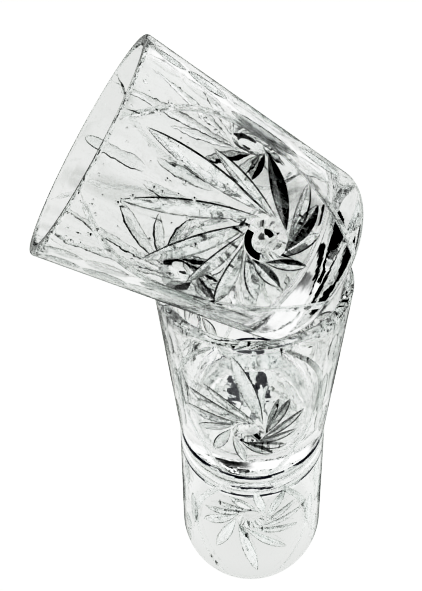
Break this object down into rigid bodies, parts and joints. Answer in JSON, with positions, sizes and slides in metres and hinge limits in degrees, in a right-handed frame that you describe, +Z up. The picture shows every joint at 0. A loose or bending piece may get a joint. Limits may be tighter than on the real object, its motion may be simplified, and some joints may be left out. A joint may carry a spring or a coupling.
{
  "type": "cut glass tumbler stack",
  "caption": "Cut-crystal tumblers stacked: a glass on its rim, another upright on its base, and the last tipped in the mouth. Pinwheel-cut walls, thick floors.",
  "frame": {"origin": "centre of the whole stack's bounding box, on the surface that the inverted glass's rim stands on", "axes": "+Z up along the axis of the inverted and standing glasses; the tipped glass's mouth faces towards -X and up; -Y is the front"},
  "size_m": [0.1214, 0.0822, 0.2851],
  "materials": {
    "crystal": "polished clear crystal with wheel-cut facets"
  },
  "bodies": {
    "inverted_glass": {"inverted_glass": "crystal"},
    "standing_glass": {"standing_glass": "crystal"},
    "tipped_glass": {"tipped_glass": "crystal"}
  },
  "joints": [
    {"name": "standing_glass_lift", "type": "slide", "parent": "inverted_glass", "child": "standing_glass", "axis": [0, 0, 1], "range_m": [0, 0.1]},
    {"name": "tipped_glass_lift", "type": "slide", "parent": "standing_glass", "child": "tipped_glass", "axis": [0, 0, 1], "range_m": [0, 0.06]}
  ]
}
